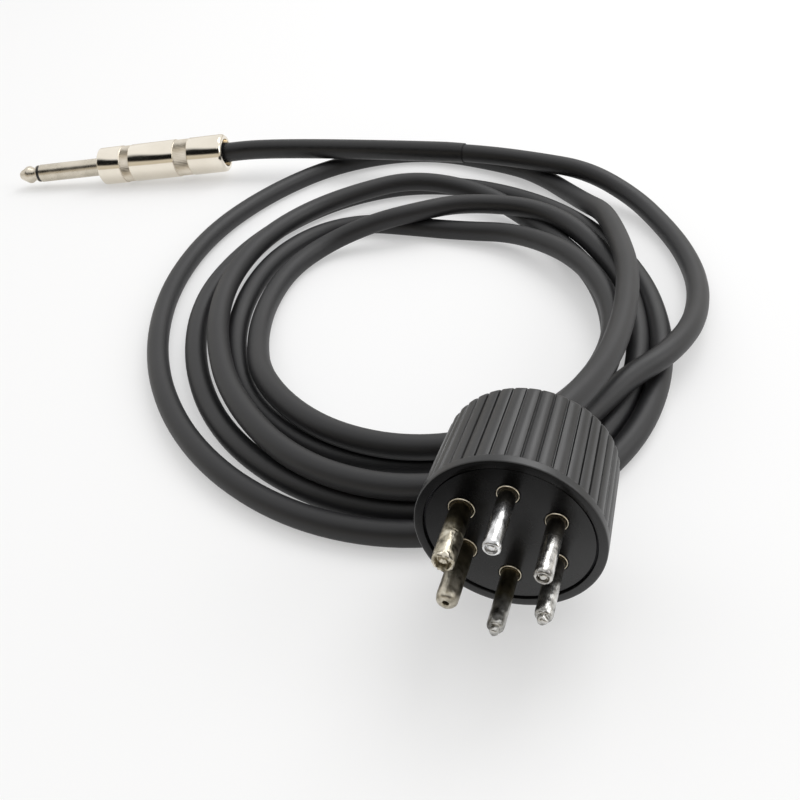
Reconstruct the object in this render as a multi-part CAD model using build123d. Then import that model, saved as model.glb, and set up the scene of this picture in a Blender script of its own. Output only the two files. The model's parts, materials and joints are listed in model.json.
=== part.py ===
"""Instrument lead: a six-pin plug with a fluted cap on one end, a quarter-inch phone plug on
the other, and a loosely coiled cable between them.  Millimetres, +Z up.  The lead lies on the
plane Z = 0, with the origin midway between its two connectors."""
import os
from math import atan, cos, degrees, pi, radians, sin, tan

from build123d import *

# ---------------------------------------------------------------- cable
cable_d = 5.8                # outside diameter of the jacket
core_d = 1.7                 # insulated core
strand_d = 0.9               # bared conductor
lie_gap = 0.05               # under a cable that lies on the table or on another turn
cable_r = cable_d / 2
lay_1 = cable_r + lie_gap                # height of a turn on the table
lay_2 = lay_1 + cable_d                  # height of a turn on top of another

# ---------------------------------------------------------------- six-pin plug
pin_circle_d = 19.05
pin_count = 6
pin_start_angle = 148.0      # first pin, seen from the front, from +X towards +Z
small_pin_d = 3.18
large_pin_d = 3.96           # the two pins that key the plug
large_pins = (0, 5)
pin_reach = 12.7             # from the rim to the end of a pin
pin_wall = 0.45
pin_nose = 0.8               # length of the rounded end
pin_lip = 0.12               # how far the rolled end turns in over the bore
pin_root = 0.5               # length of the flare down to the collar
pin_root_out = 0.2
pin_waist = 0.2              # the pin is thinner by this much inside the insert
pin_fit = 0.02
pin_tail = 1.6               # pin standing out behind the insert
collar_over = 0.45           # collar, beyond the pin's radius
collar_t = 0.35
collar_gap = 0.2             # recess round a collar
solder_depth = 5.5
solder_out = (0.35, -0.35, -0.3, 0.8, 0.95, 0.25)   # bead beyond each pin's end
solder_gap = 0.02

cap_d = 34.2
cap_rear_d = 32.9
cap_length = 22.0
cap_lip = 1.7                # flat of the front rim
cap_rear_wall = 2.6
cap_side_wall = 2.6          # behind the insert
cap_shoulder = 1.1           # rounding of the rear edge
rim_round = 0.3
flute_count = 40
flute_w = 0.6
flute_depth = 0.6
flute_start = 1.7            # plain band behind the rim

insert_t = 3.3
insert_fit = 0.1
insert_sink = 0.45           # face of the insert, below the rim
ring_t = 0.9
ring_w = 0.75
ring_seat = 0.45             # how deep the ring sits in the cap's groove
ring_fit = 0.05
ring_split = 14.0            # degrees left open
ring_gap = 0.1               # dark gap between the ring and the insert's raised face

grommet_flange = 1.2
grommet_t = 0.9
grommet_wall = 1.1
clamp_w = 4.0
clamp_t = 0.6
clamp_gap = 1.0              # from the grommet to the clamp
jacket_strip = 1.2           # jacket left beyond the clamp

# ---------------------------------------------------------------- phone plug
shank_d = 6.35
shank_length = 34.35         # from the barrel to the end of the nose
tip_length = 7.7
tip_neck_d = 4.3
tip_ring_t = 1.0
tip_ring_in = 0.25           # the insulating ring stands below the shank
nose_d = 3.6
rod_d = 2.4
rod_sleeve_wall = 0.6
shank_fit = 0.05
thread_d = 10.0
thread_length = 6.6
thread_fit = 0.08
flange_d = 11.4
flange_t = 1.5
flange_proud = 0.6
flange_fit = 0.1
shank_root = 0.4             # flare from the shank to its flange

barrel_d = 13.3
barrel_front = 8.6           # plain length before the first band
band_1 = 3.8
barrel_middle = 17.0
band_2 = 5.6
barrel_rear = 12.9
band_depth = 0.4
barrel_wall = 1.0
barrel_edge = 0.4
barrel_rear_round = 1.4
barrel_travel = 18.0         # drawn back along the cable
liner_wall = 0.5
liner_fit = 0.08
liner_length = 29.0
barrel_neck_d = 9.6          # bore behind the liner, wide enough for the cable to bend
shrink_wall = 0.45
shrink_share = 0.5           # of the cable's next run, past its first bend

lug_t = 0.5
lug_ring_d = 9.0
washer_d = 5.7
washer_t = 0.8
tip_lug_d = 4.6
tip_tag_w = 2.2
tip_tag_length = 6.0
tip_tag_rise = 1.3
rivet_d = 3.4
rivet_t = 0.6
ground_strip_w = 3.6
crimp_w = 6.0
crimp_open = 70.0            # degrees
jacket_in = 1.4              # jacket beyond the crimp
tag_lap = 3.2                # conductor laid along the tip's tag
ground_core_in = 6.4         # conductor laid along the ground strip, from the jacket
lug_reach = 12.0             # from the lug's ring to the crimp
lug_fit = 0.05
blob_r = 1.05                # solder on a tag

# ---------------------------------------------------------------- where things lie
plug_x = 103.7
plug_face_y = -91.1
plug_lift = 6.1              # the six-pin plug is held clear of the table by its stiff cable
phone_x = -86.9              # front of the barrel
phone_y = 91.07
phone_turn = 8.8             # degrees from +X to the barrel's axis
phone_rise = 3.0             # degrees up towards the cable

coil_x = 48.8
coil_y = 13.8
coil_long = 93.3             # half of the outer turn, along and across
coil_short = 66.0
coil_turn = 117.9            # degrees from +X to its long axis
# How far each outline of the coil reaches, as a share of the outer turn's oval, at equal steps
# anticlockwise from the far end of the long axis.
outer_turn = (1.07, 1.0, 0.995, 1.0, 1.0, 1.0, 1.0, 1.01, 1.01, 1.0, 1.0, 1.14)
inner_turn = (0.43, 0.45, 0.50, 0.58, 0.65, 0.70, 0.73, 0.80, 0.85, 0.79, 0.62, 0.48)
upper_outer_turn = (0.70, 0.70, 0.73, 0.78, 0.83, 0.89, 0.92, 0.93, 0.93, 0.93, 0.86, 0.79)
upper_inner_turn = (0.41, 0.45, 0.51, 0.58, 0.67, 0.73, 0.78, 0.83, 0.86, 0.78, 0.60, 0.45)
upper_from = 283.0           # degrees: the upper turns start and end here
upper_to = 565.0

plug_straight = 8.7          # cable straight behind the six-pin plug
bend_short = 2.0             # the first bend's corner, short of the barrel's travel
plug_lead_join = 324.0       # where the lead from the six-pin plug meets the coil
plug_lead_share = 1.14
phone_lead_share = 0.92      # and the lead to the phone plug

# ---------------------------------------------------------------- derived
cap_r = cap_d / 2
plug_z = plug_lift + cap_r
pin_circle_r = pin_circle_d / 2
bore_r = cap_r - cap_lip
groove_r = bore_r + ring_seat
insert_back = insert_sink + collar_t + ring_t + insert_t
ring_z = insert_sink + collar_t
insert_r = bore_r - insert_fit
cavity_r = cap_r - cap_side_wall
cap_rear_inside = cap_length - cap_rear_wall
grommet_r = cable_r + grommet_wall
clamp_back = cap_rear_inside - grommet_t - clamp_gap
clamp_front = clamp_back - clamp_w
jacket_end = clamp_front - jacket_strip

barrel_length = barrel_front + band_1 + barrel_middle + band_2 + barrel_rear
barrel_r = barrel_d / 2
phone_z = barrel_r * cos(radians(phone_rise)) - barrel_edge * sin(radians(phone_rise))
shrink_r = cable_r + shrink_wall
thread_end = flange_t - flange_proud + thread_length
liner_r = barrel_r - barrel_wall - liner_fit
liner_start = thread_end + 0.3
ring_lug_z = thread_end + lug_fit
washer_z = ring_lug_z + lug_t + lug_fit
tip_lug_z = washer_z + washer_t + lug_fit
rivet_z = tip_lug_z + lug_t
crimp_z = ring_lug_z + lug_reach
phone_jacket = crimp_z - jacket_in
shrink_start = crimp_z + crimp_w + 1.0


def cable_points_up(points):
    """Corner radii for a laid cable: 0.45 of the shorter run at each corner."""
    radii = []
    for before, here, after in zip(points, points[1:], points[2:]):
        run_in = Vector(*here) - Vector(*before)
        run_out = Vector(*after) - Vector(*here)
        half_turn = radians(run_in.get_angle(run_out)) / 2
        radii.append(0.45 * min(run_in.length, run_out.length) / tan(half_turn))
    return radii


def round_sweep(points, radii, radius):
    """A round rod along straight runs joined by tangent arcs."""
    path = FilletPolyline(*points, radius=radii)
    section = Plane(path @ 0, z_dir=path % 0) * Circle(radius)
    return sweep(section, path=path), path.length


def save(name, shape):
    export_step(shape, f"parts/{name}.step")


os.makedirs("parts", exist_ok=True)

# ================================================================ six-pin plug
# Local frame: origin at the centre of the rim, +Z into the plug, +Y down.
plug_at = Plane(origin=(plug_x, plug_face_y, plug_z), x_dir=(1, 0, 0), z_dir=(0, 1, 0)).location


def turned(outline):
    """A solid of revolution about the local Z axis, from (radius, height) points."""
    return revolve(Plane.XZ * make_face(Polyline(*outline, close=True)), axis=Axis.Z)


def make_cap():
    rear_r = cap_rear_d / 2
    half_way = cap_shoulder * (1 - cos(pi / 4))
    body = turned([
        (0, 0), (cap_r - rim_round, 0), (cap_r, rim_round), (cap_r, flute_start),
        (rear_r, cap_length - cap_shoulder), (rear_r - half_way, cap_length - half_way),
        (rear_r - cap_shoulder, cap_length), (0, cap_length)])
    body -= turned([
        (0, -1), (bore_r, -1), (bore_r, ring_z), (groove_r, ring_z), (groove_r, ring_z + ring_t),
        (bore_r, ring_z + ring_t), (bore_r, insert_back), (cavity_r, insert_back),
        (cavity_r, cap_rear_inside), (0, cap_rear_inside)])
    body -= Pos(0, 0, cap_rear_inside - 1) * Cylinder(
        grommet_r, cap_rear_wall + 2, align=(Align.CENTER, Align.CENTER, Align.MIN))
    run = cap_length - cap_shoulder - flute_start
    slope = (cap_r - rear_r) / run
    cutter_face = Plane.XZ * make_face(Polyline(
        (cap_r - flute_depth, flute_start), (rear_r - flute_depth - slope * cap_shoulder, cap_length),
        (rear_r - flute_depth - slope * cap_shoulder, cap_length + 1),
        (cap_r + 1, cap_length + 1), (cap_r + 1, flute_start), close=True))
    cutter = extrude(cutter_face, amount=flute_w / 2, both=True)
    return body - [Rot(0, 0, 360 / flute_count * k) * cutter for k in range(flute_count)]


def pin_places():
    """Each pin's place in the plug's local frame, with its radius."""
    for k in range(pin_count):
        angle = radians(-(pin_start_angle - 360 / pin_count * k))
        radius = (large_pin_d if k in large_pins else small_pin_d) / 2
        yield k, Pos(pin_circle_r * cos(angle), pin_circle_r * sin(angle), 0), radius


def make_insert():
    face_r = cap_r - cap_lip + ring_seat - ring_w - ring_gap
    body = turned([
        (0, insert_sink), (face_r, insert_sink), (face_r, ring_z + ring_t),
        (insert_r, ring_z + ring_t), (insert_r, insert_back), (0, insert_back)])
    for _, place, radius in pin_places():
        body -= place * Cylinder(radius - pin_waist + pin_fit, 3 * insert_back)
        recess = Cylinder(radius + collar_over + collar_gap, collar_t,
                          align=(Align.CENTER, Align.CENTER, Align.MIN))
        body -= place * Pos(0, 0, insert_sink) * recess
    return body


def make_pin(radius):
    """A tubular pin: rolled end, flared root with a collar, and a staked tail."""
    bore = radius - pin_wall
    waist = radius - pin_waist
    collar_z = insert_sink
    end = -pin_reach
    return turned([
        (bore - pin_lip, end), (bore + pin_wall / 2, end),
        (radius - pin_wall * 0.15, end + pin_nose * 0.4), (radius, end + pin_nose),
        (radius, collar_z - pin_root), (radius + pin_root_out, collar_z),
        (radius + collar_over, collar_z), (radius + collar_over, collar_z + collar_t),
        (waist, collar_z + collar_t), (waist, insert_back),
        (waist + pin_wall, insert_back), (waist + pin_wall, insert_back + pin_wall),
        (waist, insert_back + pin_tail), (bore, insert_back + pin_tail),
        (bore, end + pin_nose / 2), (bore - pin_lip, end + pin_nose / 4)])


def make_pin_solder(radius, out):
    """Solder that fills the end of a pin, dished or standing out as a bead."""
    bore = radius - pin_wall - solder_gap
    neck = bore - pin_lip
    end = -pin_reach
    top = end + solder_depth
    above = [(neck, end + pin_nose / 4 - solder_gap), (neck, end + pin_nose / 4), (bore, end + pin_nose / 2),
             (bore, top), (0, top)]
    if out <= 0:
        return turned([(0, end - out), (neck * 0.6, end - out)] + [
            (neck, end - out + 0.15), (bore, end - out + pin_nose / 2), (bore, top), (0, top)])
    return turned([(0, end - out), (neck * 0.55, end - out * 0.85)] + above)


save("plug_cap", plug_at * make_cap())
save("pin_insert", plug_at * make_insert())

ring_outer = groove_r - ring_fit
ring_solid = Pos(0, 0, ring_z + ring_fit) * extrude(
    Circle(ring_outer) - Circle(ring_outer - ring_w), amount=ring_t - 2 * ring_fit)
split = Rot(0, 0, 90) * Pos(ring_outer, 0, ring_z) * Box(
    4 * ring_w, 2 * ring_outer * sin(radians(ring_split / 2)), 4 * ring_t)
save("retaining_ring", plug_at * (ring_solid - split))

for k, place, radius in pin_places():
    save(f"pin_{k + 1}", plug_at * place * make_pin(radius))
    save(f"pin_solder_{k + 1}", plug_at * place * make_pin_solder(radius, solder_out[k]))

grommet = turned([
    (cable_r, cap_rear_inside - grommet_t), (grommet_r + grommet_flange, cap_rear_inside - grommet_t),
    (grommet_r + grommet_flange, cap_rear_inside), (grommet_r, cap_rear_inside),
    (grommet_r, cap_length), (grommet_r + grommet_flange, cap_length),
    (grommet_r + grommet_flange, cap_length + grommet_t), (cable_r, cap_length + grommet_t)])
save("cable_grommet", plug_at * grommet)

cable_clamp = Pos(0, 0, clamp_front) * extrude(
    Circle(cable_r + clamp_t) - Circle(cable_r), amount=clamp_w)
clamp_ear = Pos(0, -cable_r - clamp_t * 0.8, clamp_front) * Box(
    clamp_w, 4 * clamp_t, clamp_w, align=(Align.CENTER, Align.MAX, Align.MIN))
save("cable_clamp", plug_at * (cable_clamp + clamp_ear))

places = {k: (place.position.X, place.position.Y) for k, place, _ in pin_places()}
solder_top = -pin_reach + solder_depth
core_drop = 2.1
core_bend = 1.15
link_rise = 1.3


def core_lead(k, start_y):
    """An insulated core from the jacket's end to a pin, bared where it goes down the pin."""
    x, y = places[k]
    pin_end = insert_back + pin_tail
    points = [(0, start_y, jacket_end), (0, start_y, jacket_end - core_drop),
              (x, y, pin_end + core_drop), (x, y, pin_end + 0.2)]
    insulated, _ = round_sweep(points, [core_bend, core_bend], core_d / 2)
    bare = Pos(x, y, solder_top) * Cylinder(
        strand_d / 2, insert_back + pin_tail + 0.4 - solder_top,
        align=(Align.CENTER, Align.CENTER, Align.MIN))
    return insulated + bare


def link_wire(first, second):
    """A bare tinned wire that joins two neighbouring pins behind the insert."""
    a, b = places[first], places[second]
    top = insert_back + pin_tail + link_rise
    points = [(*a, solder_top), (*a, top), (*b, top), (*b, solder_top)]
    return round_sweep(points, [1.2, 1.2], strand_d / 2)[0]


save("core_lead_1", plug_at * core_lead(0, 1.1))
save("core_lead_2", plug_at * core_lead(3, -1.1))
save("link_wire_1", plug_at * link_wire(1, 2))
save("link_wire_2", plug_at * link_wire(4, 5))

# ================================================================ phone plug
# Local frame: origin at the front of the barrel, +Z along the axis towards the cable.
turn, rise = radians(phone_turn), radians(phone_rise)
phone_axis = Vector(cos(rise) * cos(turn), cos(rise) * sin(turn), sin(rise))
phone_front = Vector(phone_x, phone_y, phone_z)
phone_plane = Plane(origin=phone_front, x_dir=(-sin(turn), cos(turn), 0), z_dir=phone_axis)
phone_at = phone_plane.location

shank_r = shank_d / 2
tip_back = -shank_length + tip_length
sleeve_front = tip_back + tip_ring_t
rod_r = rod_d / 2
rod_sleeve_r = rod_r + shank_fit + rod_sleeve_wall

tip = turned([
    (0, -shank_length), (nose_d / 2 * 0.75, -shank_length + 0.25), (nose_d / 2, -shank_length + 0.9),
    (shank_r - 0.1, -shank_length + 3.3), (shank_r, -shank_length + 3.9), (shank_r - 0.1, -shank_length + 4.4),
    (tip_neck_d / 2, tip_back - 1.6), (tip_neck_d / 2, tip_back - 1.1), (shank_r - 0.25, tip_back - 0.5),
    (shank_r - 0.1, tip_back), (rod_r, tip_back), (rod_r, rivet_z),
    (rivet_d / 2, rivet_z), (rivet_d / 2, rivet_z + rivet_t * 0.6), (rod_r * 0.8, rivet_z + rivet_t),
    (0, rivet_z + rivet_t)])
save("phone_tip", phone_at * tip)

tip_ring_r = shank_r - tip_ring_in
tip_ring = turned([(rod_r + shank_fit, tip_back), (tip_ring_r, tip_back),
                   (tip_ring_r, sleeve_front), (rod_r + shank_fit, sleeve_front)])
save("tip_insulator", phone_at * tip_ring)

rod_sleeve = turned([(rod_r + shank_fit, sleeve_front), (rod_sleeve_r, sleeve_front),
                     (rod_sleeve_r, ring_lug_z + lug_t), (rod_r + shank_fit, ring_lug_z + lug_t)])
save("rod_insulator", phone_at * rod_sleeve)

thread_r = thread_d / 2
shank = turned([
    (rod_sleeve_r + shank_fit, sleeve_front), (shank_r - 0.15, sleeve_front),
    (shank_r, sleeve_front + 0.15), (shank_r, -flange_proud - shank_root),
    (shank_r + shank_root / 2, -flange_proud), (flange_d / 2 - 0.2, -flange_proud),
    (flange_d / 2, -flange_proud + 0.2), (flange_d / 2, flange_t - flange_proud - flange_fit),
    (thread_r, flange_t - flange_proud - flange_fit), (thread_r, thread_end - 0.5),
    (thread_r - 0.5, thread_end), (rod_sleeve_r + shank_fit, thread_end)])
save("phone_sleeve", phone_at * shank)

ground_ring = Pos(0, 0, ring_lug_z) * extrude(
    Circle(lug_ring_d / 2) - Circle(rod_sleeve_r + lug_fit), amount=lug_t)
strip_length = crimp_z + crimp_w - ring_lug_z
strip_r = cable_r + lug_fit
strip = Pos(0, -strip_r, ring_lug_z) * Box(
    ground_strip_w, lug_t, strip_length, align=(Align.CENTER, Align.MAX, Align.MIN))
crimp = Pos(0, 0, crimp_z) * extrude(Circle(strip_r + lug_t) - Circle(strip_r), amount=crimp_w)
crimp -= Pos(0, strip_r + lug_t, crimp_z + crimp_w / 2) * Box(
    2 * strip_r * sin(radians(crimp_open / 2)), 3 * lug_t, crimp_w + 1)
save("ground_lug", phone_at * (ground_ring + strip + crimp))

washer = Pos(0, 0, washer_z) * extrude(Circle(washer_d / 2) - Circle(rod_r + lug_fit), amount=washer_t)
save("lug_washer", phone_at * washer)

tip_lug = Pos(0, 0, tip_lug_z) * extrude(Circle(tip_lug_d / 2) - Circle(rod_r + lug_fit), amount=lug_t)
tag = Pos(0, tip_tag_rise + rivet_d / 2 - 0.8, tip_lug_z) * Box(
    tip_tag_w, lug_t, tip_tag_length, align=(Align.CENTER, Align.MAX, Align.MIN))
save("tip_lug", phone_at * (tip_lug + tag))

tag_top = tip_tag_rise + rivet_d / 2 - 0.8
tag_end = tip_lug_z + tip_tag_length
tip_core, _ = round_sweep(
    [(0, 0.9, phone_jacket), (0, 0.9, phone_jacket - 2.2), (0, tag_top + 0.5, tag_end + 0.2),
     (0, tag_top + 0.5, tag_end - tag_lap)], [1.0, 1.0], strand_d / 2)
save("tip_core", phone_at * tip_core)
ground_core, _ = round_sweep(
    [(0, -1.2, phone_jacket), (0, -1.2, phone_jacket - 1.6), (0, -strip_r + 0.5, phone_jacket - 4.2),
     (0, -strip_r + 0.5, phone_jacket - ground_core_in)], [1.0, 1.0], strand_d / 2)
save("ground_core", phone_at * ground_core)


def blob(height, along):
    """A solder bead with a flat base, round the end of a conductor."""
    bead = Pos(0, height, along) * scale(Sphere(blob_r), by=(1, 1, 1.5))
    below = Pos(0, height, along) * Box(6, 6, 6, align=(Align.CENTER, Align.MAX, Align.CENTER))
    return bead - below


wire_end = tag_end - tag_lap
save("tip_solder", phone_at * (blob(tag_top, wire_end) - tip_core))
ground_end = phone_jacket - ground_core_in
save("ground_solder", phone_at * (blob(-strip_r, ground_end) - ground_core))

# barrel, with two sunk bands, and the insulating liner that it carries
mouth_z = flange_t - flange_proud
thread_bore = thread_r + thread_fit
inner_r = barrel_r - barrel_wall
band_1_z = barrel_front
band_2_z = barrel_front + band_1 + barrel_middle
liner_end = liner_start + liner_length
barrel = turned([
    (flange_d / 2 + flange_fit, 0), (barrel_r - barrel_edge, 0), (barrel_r, barrel_edge),
    (barrel_r, band_1_z), (barrel_r - band_depth, band_1_z + band_depth),
    (barrel_r - band_depth, band_1_z + band_1 - band_depth), (barrel_r, band_1_z + band_1),
    (barrel_r, band_2_z), (barrel_r - band_depth, band_2_z + band_depth),
    (barrel_r - band_depth, band_2_z + band_2 - band_depth), (barrel_r, band_2_z + band_2),
    (barrel_r, barrel_length), (barrel_neck_d / 2, barrel_length),
    (barrel_neck_d / 2, liner_end + liner_fit), (inner_r, liner_end + liner_fit),
    (inner_r, liner_start - liner_fit), (thread_bore, liner_start - liner_fit),
    (thread_bore, mouth_z), (flange_d / 2 + flange_fit, mouth_z)])
rear_rim = barrel.edges().filter_by(GeomType.CIRCLE).sort_by(Axis.Z)[-2:].sort_by(SortBy.RADIUS)[-1]
save("barrel", phone_at * fillet(rear_rim, barrel_rear_round))

liner = Pos(0, 0, liner_start) * extrude(
    Circle(liner_r) - Circle(liner_r - liner_wall), amount=liner_length)
save("barrel_liner", phone_at * liner)

# ================================================================ cable
coil_axis = radians(coil_turn)


def coil_point(angle, share, height=0.0, grow=0.0):
    """A point on an oval turn: the share of the outer turn, grown sideways by a length."""
    along = (coil_long * share + grow) * cos(angle)
    across = (coil_short * share + grow) * sin(angle)
    return (coil_x + along * cos(coil_axis) - across * sin(coil_axis),
            coil_y + along * sin(coil_axis) + across * cos(coil_axis), height)


def share_at(reach, angle):
    """Reach of an outline at an angle in degrees, eased between its stations."""
    place = angle / 360 * len(reach)
    first = int(place // 1)
    ease = (1 - cos(pi * (place - first))) / 2
    return reach[first % len(reach)] * (1 - ease) + reach[(first + 1) % len(reach)] * ease


def outline(reach, grow, start=0.0, stop=360.0, step=10.0):
    count = round((stop - start) / step)
    angles = [start + (stop - start) * k / count for k in range(count + 1)]
    return [coil_point(radians(a), share_at(reach, a), 0, grow) for a in angles]


def closed_oval(reach, grow):
    station = 360 / len(reach)
    return make_face(Spline(*outline(reach, grow, step=station)[:-1], periodic=True))


half = cable_r + lie_gap
lower = extrude(closed_oval(outer_turn, half) - closed_oval(inner_turn, -half), amount=cable_d)
arc_step = 30.0
outer_edge = Spline(*outline(upper_outer_turn, half, upper_from, upper_to, arc_step))
inner_edge = Spline(*outline(upper_inner_turn, -half, upper_from, upper_to, arc_step))
upper_face = make_face([
    outer_edge, inner_edge, Line(outer_edge @ 0, inner_edge @ 0), Line(outer_edge @ 1, inner_edge @ 1)])
upper = Pos(0, 0, cable_d) * extrude(upper_face, amount=cable_d)
save("cable_coil", lower + upper)

# lead from the six-pin plug, over the coil's side and down beside it
six_pin_lead = [
    (plug_x, plug_face_y + jacket_end, plug_z),
    (plug_x, plug_face_y + cap_length + plug_straight, plug_z),
    (109.3, -45.4, 21.2),
    (112.6, -29.9, 19.0),
    (113.6, -13.9, 17.0),
    (113.2, 2.6, 15.6),
    (111.5, 18.1, 14.0),
    (108.3, 32.6, 12.4),
    (104.3, 46.1, 11.0),
    (99.7, 59.6, 9.0),
    (93.2, 71.6, 5.4),
    (85.7, 83.6, 3.05),
    (76.0, 94.4, lay_1),
    (64.2, 103.2, lay_1),
    coil_point(radians(plug_lead_join), plug_lead_share, lay_1),
]
first_radii = cable_points_up(six_pin_lead)
lead_1, lead_1_length = round_sweep(six_pin_lead, first_radii, cable_r)
save("cable_lead_plug", lead_1)

# lead from the coil to the phone plug, round beside the coil and back over its far end
def on_phone_axis(along):
    """A point of the phone plug's axis, measured from the front of the barrel."""
    spot = phone_front + phone_axis * along
    return (spot.X, spot.Y, spot.Z)


cable_bend = barrel_length + barrel_travel - bend_short
phone_lead = [
    coil_point(radians(upper_to), phone_lead_share, lay_2),
    (116.3, -21.9, 8.95),
    (123.7, -12.1, 8.9),
    (128.3, 1.6, 7.4),
    (129.4, 16.6, 4.8),
    (128.3, 32.1, 3.1),
    (123.9, 47.6, lay_1),
    (116.9, 62.9, 3.0),
    (106.4, 78.1, 4.8),
    (91.2, 88.4, 8.4),
    (74.7, 93.4, 9.0),
    (56.7, 97.6, 9.4),
    (37.7, 99.8, 9.6),
    on_phone_axis(cable_bend),
    on_phone_axis(phone_jacket),
]
second_radii = cable_points_up(phone_lead)
lead_2, lead_2_length = round_sweep(phone_lead, second_radii, cable_r)
save("cable_lead_phone", lead_2)

# sleeve shrunk over the last stretch, from inside the barrel to where the cable curves away
beyond = Vector(*phone_lead[-4]) - Vector(*phone_lead[-3])
shrink_end = Vector(*phone_lead[-3]) + beyond * shrink_share
shrunk = [on_phone_axis(shrink_start), phone_lead[-2], phone_lead[-3], tuple(shrink_end)]
shrunk_radii = [second_radii[-1], second_radii[-2]]
outside, _ = round_sweep(shrunk, shrunk_radii, shrink_r)
inside, _ = round_sweep(shrunk, shrunk_radii, cable_r)
save("heat_shrink", outside - inside)

for name, solid, length in (("lead 1", lead_1, lead_1_length), ("lead 2", lead_2, lead_2_length)):
    print(name, "length", round(length, 1), "volume", round(solid.volume, 1),
          "section x length", round(pi * cable_r ** 2 * length, 1))
print("radii 1", [round(r, 1) for r in first_radii])
print("radii 2", [round(r, 1) for r in second_radii])
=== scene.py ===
import json
import math
import bmesh
import bpy
from mathutils import Matrix, Vector


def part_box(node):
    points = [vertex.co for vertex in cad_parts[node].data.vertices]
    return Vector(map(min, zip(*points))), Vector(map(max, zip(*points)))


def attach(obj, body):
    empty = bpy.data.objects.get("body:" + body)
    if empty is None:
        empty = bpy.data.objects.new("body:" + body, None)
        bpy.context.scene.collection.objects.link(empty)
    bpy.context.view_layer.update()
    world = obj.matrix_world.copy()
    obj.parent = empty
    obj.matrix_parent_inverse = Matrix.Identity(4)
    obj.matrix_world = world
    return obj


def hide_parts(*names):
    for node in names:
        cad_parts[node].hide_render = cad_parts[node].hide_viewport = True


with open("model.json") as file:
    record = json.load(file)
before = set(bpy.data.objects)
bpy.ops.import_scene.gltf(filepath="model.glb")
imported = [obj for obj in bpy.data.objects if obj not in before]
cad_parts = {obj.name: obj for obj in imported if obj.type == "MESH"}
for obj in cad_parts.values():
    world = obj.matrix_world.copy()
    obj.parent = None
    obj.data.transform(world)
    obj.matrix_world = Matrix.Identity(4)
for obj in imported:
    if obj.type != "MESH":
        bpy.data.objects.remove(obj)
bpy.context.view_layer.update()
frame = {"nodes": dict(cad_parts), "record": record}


def mm(value):
    return value / 1000


def linearColour(hexText):
    channels = [int(hexText[i:i + 2], 16) / 255 for i in (0, 2, 4)]
    return [c / 12.92 if c <= 0.04045 else ((c + 0.055) / 1.055) ** 2.4 for c in channels] + [1.0]


# where the camera stands, in mm and degrees
view = {
    "place": (136.81, -216.04, 149.23),
    "yaw": 21.546,               # left of +Y
    "pitch": 36.109,             # below level
    "roll": 8.43,
    "lens": 46.37,
    "sensor": 36.0,
    "clip": (0.01, 20),          # metres
}


def addCamera():
    yaw, pitch, roll = (math.radians(view[key]) for key in ("yaw", "pitch", "roll"))
    forward = Vector((-math.cos(pitch) * math.sin(yaw), math.cos(pitch) * math.cos(yaw), -math.sin(pitch)))
    level = Vector((math.cos(yaw), math.sin(yaw), 0))
    over = level.cross(forward)
    right = math.cos(roll) * level - math.sin(roll) * over
    up = math.sin(roll) * level + math.cos(roll) * over
    data = bpy.data.cameras.new("tableCamera")
    data.lens = view["lens"]
    data.sensor_width = view["sensor"]
    data.clip_start, data.clip_end = view["clip"]
    camera = bpy.data.objects.new("tableCamera", data)
    bpy.context.collection.objects.link(camera)
    turn = Matrix((right, up, -forward)).transposed().to_4x4()
    camera.matrix_world = Matrix.Translation(Vector([mm(v) for v in view["place"]])) @ turn
    bpy.context.scene.camera = camera


addCamera()
print("camera placed")

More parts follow.
